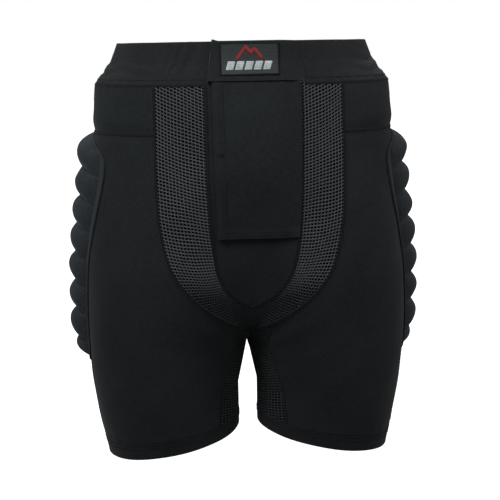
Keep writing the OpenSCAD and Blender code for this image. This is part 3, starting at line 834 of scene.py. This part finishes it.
V, D = rows(lambda d: v_at(free_x(d), d), lambda d: v_at(np.minimum(FLAP_HINGE - 0.5, inner_x(d, 1)), d),
            drops(BAND, FLAP_DROP, 3.0), 44 // fine)
across = (V - V[:, :1]) / (V[:, -1:] - V[:, :1])
edge_in = smooth(across, 0.0, 0.06)
press = smooth(across, 1.0, 0.72)
flap_lift = FLY_LIFT * mix(0.25, 1.0, press) + 0.35 * np.sin(D / 17.0) * (1 - smooth(across, 0, 0.3))
uv = np.stack([V * V_UNIT, D], -1) * MM
hemline = 0.7 * smooth(FLAP_DROP - D, 9, 7.5) + 0.55 * smooth(across, 0.085, 0.075)
ob = slab("fly_flap.cloth", place(V, D, flap_lift + CLOTH * (0.55 + 0.45 * edge_in) + hemline),
          place(V, D, flap_lift), JERSEY, uv)
flap_fabric(ob, "fly_flap")

# topstitching along the free edge and the bottom, then the tack beside the free edge
parts = []
line = np.linspace(BAND + 2, FLAP_DROP - 2, 60)
for inset in (6.5, 11.0):
    stitches(parts, Path(v_at(free_x(line) + inset, line), line), 0, FLAP_TOP + 0.35, 3.0, 2.4, 0.3)
line = np.linspace(-FLAP_FREE + 4, 44, 60)
for up in (7.0, 3.2):
    level = np.full(60, FLAP_DROP - up)
    stitches(parts, Path(v_at(line, level), level), 0, FLAP_TOP + 0.6, 3.0, 2.4, 0.3)
tack = mix(-FLAP_FREE + 3.0, -FLAP_FREE + 13.0, np.linspace(0, 1, 20))
for drop in (118, 119.2, 120.4):
    level = np.full(20, float(drop))
    stitches(parts, Path(v_at(tack, level), level), 0, FLAP_TOP + 0.65, 1.3, 1.6, 0.45)
settle(join_parts("fly_stitching.thread", parts, THREAD), "fly_stitching", FLAP)

# hook-and-loop tapes: name, distances of the edges from the flap's free edge, drops, columns
for name, near, far, levels, count in (("fly", 6, 18, drops(BAND + 20, FLAP_DROP - 20), 5),
                                       ("waist", 3, 31, drops(6, 38), 12)):
    V, D = rows(lambda d: v_at(np.full(len(d), near - FLAP_FREE), d),
                lambda d: v_at(np.full(len(d), far - FLAP_FREE), d), levels, count)
    for kind, low, body in (("loop", LOOP_LOW, ROOT), ("hook", HOOK_LOW, FLAP)):
        node = f"{name}_{kind}_tape"
        settle(sheet(f"{node}.tape", V, D, low, low + TAPE_PILE, TAPE), node, body)

for name, levels in (("fly_underlay", drops(BAND, FLAP_DROP)),
                     ("front_gusset", drops(FLAP_DROP, IN_END - 0.5, 2.0))):
    V, D = rows(lambda d: -inner_seam(d, -1), lambda d: inner_seam(d, 1), levels, 30 // fine)
    settle(sheet(f"{name}.cloth", V, D, -CLOTH, 0, JERSEY), name)

# ------------------------------------------------------------------ waistband


def band_profile(lift, thick, bottom=BAND, top=0.0, around=6, steps=12):
    """A soft folded section: up the outside, over the rounded edge, down the inside."""
    r = thick / 2
    out = [(bottom - k * (bottom - top - r) / steps, lift + thick) for k in range(steps)]
    arc = [(top + r - r * math.sin(a), lift + r + r * math.cos(a))
           for a in np.linspace(0, math.pi, around * 2 + 1)]
    back = [(top + r + (k + 1) * (bottom - top - r) / steps, lift) for k in range(steps)]
    return out + arc + back


def elastic_profile(casing_lift):
    return band_profile(casing_lift + 0.85, 1.1, BAND - 3, 2.2, 3, 6)


# The band runs from the hinge line round the back and on under the tab. There its end is set back,
# which leaves room for the tab to run into the band.
V = np.linspace(band_v(FLAP_HINGE + 0.4), 4 + band_v(FLAP_HINGE + 4), 360 // fine)
dip = 3.2 * smooth(V, 4 + band_v(28), 4 + band_v(50))
settle(swept("waistband_casing.cloth", V, band_profile(-CASING, CASING), BAND_CLOTH, dip), "waistband_casing")
settle(swept("waistband_elastic.band", V[2:-6], elastic_profile(-CASING), ELASTIC, dip[2:-6]),
       "waistband_elastic")

# The tab: level with the band at the hinge line, and raised a little at its free top corner.
V = np.linspace(band_v(-FLAP_FREE), band_v(FLAP_HINGE + 0.1), 72 // fine)
VV, DD, LL = section(V, band_profile(FLY_LIFT, CASING))
span = (VV - V[0]) / (V[-1] - V[0])
LL = LL - (FLY_LIFT + CASING) * smooth(span, 0.74, 0.99)
DD = DD - 1.6 * smooth(0.08 - span, 0, 0.08) * smooth(BAND - DD, 25, 45)
ob = build("waist_tab_casing.cloth", place(VV, DD, LL), capped(*VV.shape), BAND_CLOTH,
           np.stack([VV * V_UNIT, DD + LL], -1) * MM)
flap_fabric(ob, "waist_tab_casing")
settle(swept("waist_tab_elastic.band", V[3:-25 // fine], elastic_profile(FLY_LIFT), ELASTIC),
       "waist_tab_elastic", FLAP)

# The label: a woven patch with an overlocked border, a plain twin-peak shape and five slanted bars.
TAB_TOP = FLY_LIFT + CASING
LABEL_HALF, LABEL_TOP, LABEL_BOTTOM = 30, 3, 36.5
D = np.repeat(np.linspace(LABEL_TOP, LABEL_BOTTOM, 16)[:, None], 30, 1)
X = np.repeat(np.linspace(-LABEL_HALF, LABEL_HALF, 30)[None], 16, 0)
settle(sheet("waist_label.weave", v_at(X, D), D, TAB_TOP + 0.1, TAB_TOP + 0.75, LABEL), "waist_label", FLAP)

parts = []
x = np.concatenate([np.linspace(-LABEL_HALF, LABEL_HALF, 40), np.full(24, LABEL_HALF),
                    np.linspace(LABEL_HALF, -LABEL_HALF, 40), np.full(24, -LABEL_HALF)])
d = np.concatenate([np.full(40, LABEL_TOP), np.linspace(LABEL_TOP, LABEL_BOTTOM, 24),
                    np.full(40, LABEL_BOTTOM), np.linspace(LABEL_BOTTOM, LABEL_TOP, 24)])
stitches(parts, Path(v_at(x, d), d), 0.0, TAB_TOP + 0.85, 1.0, 2.2, 0.32, slant=1.35, ends=0)
settle(join_parts("waist_label_border.thread", parts, THREAD), body=FLAP)

parts = []
peaks_x, peaks_d = np.array([-13, -4, 1.5, 5, 13.0]), np.array([19, 7, 13, 9, 19.0])
x = np.linspace(peaks_x[0], peaks_x[-1], 90)
d = np.interp(x, peaks_x, peaks_d)
for shift in (-0.9, 0.9):
    stitches(parts, Path(v_at(x, d + shift), d + shift), 0, TAB_TOP + 0.95, 0.5, 2.6, 0.36, slant=1.3, ends=0)
settle(join_parts("label_emblem.thread", parts, EMBLEM), "label_emblem", FLAP)

parts = []
BARS, BAR_PITCH, BAR_WIDTH, BAR_ROWS = 5, 9.6, 7.4, 5
for left in -24 + BAR_PITCH * np.arange(BARS):
    for row in range(BAR_ROWS):
        d = np.full(16, 23.5 + 1.9 * row)
        x = np.linspace(left, left + BAR_WIDTH, 16) + 0.3 * (29 - d)
        stitches(parts, Path(v_at(x, d), d), 0, TAB_TOP + 0.9, 0.5, 2.1, 0.34, slant=1.4, ends=0)
settle(join_parts("label_bar.thread", parts, WHITE_THREAD), body=FLAP)

# The care label hangs inside the centre back.
D = np.repeat(np.linspace(BAND - 12, BAND + 30, 14)[:, None], 14, 1)
V = np.repeat(np.linspace(1.9, 2.1, 14)[None], 14, 0)
hang = 0.6 * smooth(D, 45, 75)
settle(sheet("care_label.tape", V, D, -4.2 - hang, -3.8 - hang, CARE), "care_label")

# ------------------------------------------------------------------ hems

HEM_TOP = LENGTH - HEM
for side, tag in SIDES:
    folded = [(LENGTH + HEM_TOP - d, lift) for d, lift in band_profile(-2.4, 2.4, LENGTH, HEM_TOP, 5, 8)]
    SS, DD, LL = section(np.linspace(-1, 1, 150 // fine, endpoint=False), folded)
    ob = build(f"hem_band_{tag}.cloth", leg_place(SS, DD, LL, side), quads(*SS.shape, 0, True, True), JERSEY,
               np.stack([SS * V_UNIT, DD + LL], -1) * MM)
    settle(ob, f"hem_band_{tag}")

    parts = []
    on_leg = functools.partial(leg_place, side=side)
    s = np.linspace(-1, EDGE_TURN, 240)
    ribbon(parts, Path(s, np.full(240, HEM_TOP), on_leg), 2.0, 0.0, 0.25)
    for down in (3.2, 8.0):
        stitches(parts, Path(s, np.full(240, HEM_TOP + down), on_leg), 0, 0.3, 3.0, 2.4, 0.3, ends=0)
    settle(join_parts(f"hem_stitching_{tag}.thread", parts, THREAD), f"hem_stitching_{tag}")

# ------------------------------------------------------------------ seams

CENTRE = 0.006          # seams that meet stop this girth short of the centre
BACK_SEAM_TOP = 278.5   # below the tailbone pad
NARROW, WIDE = (-1.1, 1.1), (-1.2, 1.2)

parts = []
v = np.linspace(band_v(FLAP_HINGE + 2, 50.0), 4 + band_v(-FLAP_FREE - 6, 50.0), 500)
path = Path(v, np.full(500, BAND + 2.2))
ribbon(parts, path, 4.4, -0.1, 0.4)
stitches(parts, path, 0.0, 0.35, 2.8, 2.3, 0.3)
stitches(parts, Path(v, np.full(500, BAND - 3.0)), 0.0, 0.25, 3.0, 2.4, 0.28)
settle(join_parts("waist_seam_stitching.thread", parts, THREAD), "waist_seam_stitching")

for side, tag in SIDES:
    parts = []
    d = np.concatenate([np.linspace(BAND + 4, 290, 120), np.linspace(290.5, OUT_END - 0.5, 40)])
    seam(parts, Path(side * np.maximum(outer_seam(d), CENTRE), d), 3.2, NARROW)
    d = np.concatenate([np.linspace(BAND + 4, 260, 100), np.linspace(260.5, IN_END - 0.5, 40)])
    seam(parts, Path(side * np.maximum(inner_seam(d, side), CENTRE), d), 3.6, cross=False)
    v = np.linspace(float(outer_seam(np.array(YOKE))) + 0.01, 2.0, 260)
    seam(parts, Path(side * v, np.full(260, YOKE)), 3.4, NARROW, cross=False)
    d = np.linspace(HIP.bottom + 4, panel_end - 1, 40)
    for edge in (side_front, side_back):
        seam(parts, Path(side * edge(d), d), 3.4, NARROW, cross=False)
    d = np.linspace(CROTCH + 6, panel_end - 1, 40)
    for edge in (inseam_front, inseam_back):
        seam(parts, Path(side * edge(d), d), 3.8, WIDE, cross=False)
    if side == 1:
        d = np.linspace(BACK_SEAM_TOP, CROTCH - 6, 60)
        seam(parts, Path(np.full(60, 1.999), d), 3.8, WIDE, cross=False)
    settle(join_parts(f"mesh_seam_stitching_{tag}.thread", parts, THREAD), f"mesh_seam_stitching_{tag}")

# ------------------------------------------------------------------ pads

MOVE_MOST = 0.003      # metres a cover may move when it is blown up
CORD = 1.25            # radius of the piping


def inflate(ob, pinned, frames=12, pressure=3.0, grow=0.04):
    """Blows the cover up like a cushion between its stitched lines, and returns the new points."""
    group = ob.vertex_groups.new(name="pin")
    group.add([int(i) for i in pinned], 1.0, "REPLACE")
    m = ob.modifiers.new("Cloth", "CLOTH")
    c = m.settings
    c.quality = 6
    c.mass = 0.2
    c.tension_stiffness = c.compression_stiffness = 12
    c.shear_stiffness = 4
    c.bending_stiffness = 0.15
    c.use_pressure = True
    c.uniform_pressure_force = pressure
    c.shrink_min = -grow
    c.vertex_group_mass = "pin"
    c.effector_weights.gravity = 0
    m.collision_settings.use_collision = False
    m.point_cache.frame_start, m.point_cache.frame_end = 1, frames
    for f in range(1, frames + 1):
        scene.frame_set(f)
    dg = bpy.context.evaluated_depsgraph_get()
    e = ob.evaluated_get(dg)
    co = np.empty(len(e.data.vertices) * 3)
    e.data.vertices.foreach_get("co", co)
    ob.modifiers.clear()
    scene.frame_set(1)
    return co.reshape(-1, 3)


def relax(field, times):
    """Evens out a grid of vectors."""
    for _ in range(times):
        f = np.pad(field, ((1, 1), (1, 1), (0, 0)), mode="edge")
        field = (2 * field + f[:-2, 1:-1] + f[2:, 1:-1] + f[1:-1, :-2] + f[1:-1, 2:]) / 6
    return field


def pad_cover(pad, name, side):
    """The cover: a grid pinned along the valleys and edges of the cells, and blown up between them."""
    per = 12 // fine
    across = max(14, int((mix(*pad.back, 0.5) - mix(*pad.front, 0.5)) * V_UNIT / 3.6 / fine))
    arc = (1 - np.cos(math.pi * np.arange(per) / per)) / 2
    w = np.concatenate([cell + arc * (pad.last if cell == pad.cells - 1 else 1) for cell in range(pad.cells)])
    w = np.append(w, pad.rows) / pad.rows
    lead = 0.03
    turn = math.pi * (np.arange(across + 1) / across * (1 - 2 * lead) + lead)
    u = 0.5 - 0.44 * np.cos(turn) / math.cos(math.pi * lead)
    u = np.concatenate([[0, lead], u, [1 - lead, 1]])
    U, W = np.meshgrid(u, w)
    V, D = pad.at(U, W)
    rise = pad.rise(U, W)
    P = place(side * V, D, 1.0 + rise)
    soft = build("soft", P, quads(len(w), len(u)), PAD)
    faces = soft.data.polygons
    out = place(side * V, D, 2.0 + rise) - P
    if float(np.array(faces[len(faces) // 2].normal) @ out[len(w) // 2, len(u) // 2]) < 0:
        soft.data.flip_normals()
    pin = np.zeros(U.shape, bool)
    pin[::per] = True
    pin[-1] = True
    pin[:, [0, 1, 2, -3, -2, -1]] = True
    move = relax(inflate(soft, np.flatnonzero(pin.ravel())).reshape(P.shape) - P, 2)
    out = unit(out)
    move = move - out * np.minimum(0, (move * out).sum(-1, keepdims=True))
    size = np.linalg.norm(move, axis=-1, keepdims=True)
    P = P + move * np.minimum(1, MOVE_MOST / np.maximum(size, 1e-9))
    bpy.data.objects.remove(soft)
    return slab(name, P, place(side * V, D, 0.35), PAD, np.stack([V * V_UNIT, D], -1) * MM,
                subdivide=1)


def pad_set(pad, base, side, tag=""):
    """The cover, foam cells and piping of one pad."""
    settle(pad_cover(pad, f"{base}_pad_cover{tag}.cloth", side), f"{base}_pad_cover{tag}")
    blocks = []
    for cell in range(pad.cells):
        share = pad.last if cell == pad.cells - 1 else 1
        w = (cell + np.linspace(0.16, 0.84, 9) * share) / pad.rows
        U, W = np.meshgrid(np.linspace(0.09, 0.91, 18), w)
        V, D = pad.at(U, W)
        P, Q = place(side * V, D, 0.6 + 0.8 * pad.rise(U, W)), place(side * V, D, 0.6)
        blocks.append(slab("foam", P, Q, FOAM, np.stack([V * V_UNIT, D], -1) * MM))
    with bpy.context.temp_override(active_object=blocks[0], selected_editable_objects=blocks,
                                   selected_objects=blocks):
        bpy.ops.object.join()
    blocks[0].name = f"{base}_pad_foam{tag}.foam"
    settle(blocks[0], f"{base}_pad_foam{tag}")
    v, d = pad.loop(3.2)
    p = place(side * v, d, CORD)
    outward = unit(place(side * v, d, CORD + 1) - p)
    settle(tube(f"{base}_pad_piping{tag}.cord", p, outward, CORD * MM, PAD), f"{base}_pad_piping{tag}")


for pad, base in ((HIP, "hip"), (SEAT, "seat")):
    for side, tag in SIDES:
        pad_set(pad, base, side, f"_{tag}")
pad_set(TAIL, "tailbone", 1)

# ------------------------------------------------------------------ stage, light and camera

floor_z = cad_box[0].z - 0.004


def stage_material(name, grey, seen):
    """A pale surface. The camera sees it near white, and it throws only a little light back up."""
    m = bpy.data.materials.new(name)
    m.use_nodes = True
    nt = m.node_tree
    nt.nodes.clear()
    out = nt.nodes.new("ShaderNodeOutputMaterial")
    shades = []
    for value in (0.22, grey):
        n = nt.nodes.new("ShaderNodeBsdfDiffuse")
        n.inputs[0].default_value = (value, value, value, 1)
        shades.append(n)
    glow = nt.nodes.new("ShaderNodeEmission")
    glow.inputs[0].default_value = (1, 1, 1, 1)
    glow.inputs[1].default_value = seen
    add = nt.nodes.new("ShaderNodeAddShader")
    pick = nt.nodes.new("ShaderNodeMixShader")
    ray = nt.nodes.new("ShaderNodeLightPath")
    nt.links.new(shades[1].outputs[0], add.inputs[0])
    nt.links.new(glow.outputs[0], add.inputs[1])
    nt.links.new(ray.outputs["Is Camera Ray"], pick.inputs[0])
    nt.links.new(shades[0].outputs[0], pick.inputs[1])
    nt.links.new(add.outputs[0], pick.inputs[2])
    nt.links.new(pick.outputs[0], out.inputs[0])
    return m


me = bpy.data.meshes.new("floor")
me.from_pydata([(-6, -6, floor_z), (6, -6, floor_z), (6, 9, floor_z), (-6, 9, floor_z)], [], [(0, 1, 2, 3)])
me.materials.append(stage_material("floor", 0.6, 1.15))
floor = bpy.data.objects.new("floor", me)
scene.collection.objects.link(floor)

world = bpy.data.worlds.new("studio")
scene.world = world
world.use_nodes = True
nt = world.node_tree
nt.nodes.clear()
out = nt.nodes.new("ShaderNodeOutputWorld")
seen, lit = nt.nodes.new("ShaderNodeBackground"), nt.nodes.new("ShaderNodeBackground")
seen.inputs[0].default_value, seen.inputs[1].default_value = (1, 1, 1, 1), 1.0
lit.inputs[0].default_value, lit.inputs[1].default_value = (0.93, 0.97, 1, 1), 0.20
ray, mixn = nt.nodes.new("ShaderNodeLightPath"), nt.nodes.new("ShaderNodeMixShader")
nt.links.new(ray.outputs["Is Camera Ray"], mixn.inputs[0])
nt.links.new(lit.outputs[0], mixn.inputs[1])
nt.links.new(seen.outputs[0], mixn.inputs[2])
nt.links.new(mixn.outputs[0], out.inputs[0])


def lamp(name, where, target, size, power, colour=(1, 1, 1)):
    data = bpy.data.lights.new(name, "AREA")
    data.size, data.energy, data.color = size, power, colour
    ob = bpy.data.objects.new(name, data)
    ob.location = where
    ob.rotation_euler = (Vector(target) - Vector(where)).to_track_quat("-Z", "Y").to_euler()
    scene.collection.objects.link(ob)


lamp("key", (-0.8, -0.9, 1.0), (-0.04, 0, -0.06), 0.6, 13.5, (0.88, 0.96, 1))
lamp("fill", (0.95, -0.95, 1.15), (0.1, 0, -0.02), 0.8, 5.2, (0.93, 0.98, 1))
lamp("side", (1.3, -0.35, 0.95), (0.14, 0, -0.06), 0.5, 3.2, (0.93, 0.98, 1))
lamp("back", (0.3, 2.0, 1.2), (0, 0, -0.2), 1.4, 8)

camera = bpy.data.cameras.new("camera")
camera.lens, camera.sensor_width = 87.6, 36
cam = bpy.data.objects.new("camera", camera)
distance, yaw, roll = 1.4, math.radians(-4.5), math.radians(1.0)
middle_z = (cad_box[0].z + cad_box[1].z) / 2
cam.location = (distance * math.sin(yaw), -distance * math.cos(yaw), 0.0)
cam.rotation_mode = "QUATERNION"
aim = (Vector((0, 0, middle_z)) - cam.location).to_track_quat("-Z", "Y")
cam.rotation_quaternion = aim @ Quaternion((0, 0, 1), -roll)
camera.shift_x = 0.0096
camera.shift_y = -0.0072
scene.collection.objects.link(cam)
scene.camera = cam
scene.view_settings.view_transform = "Standard"
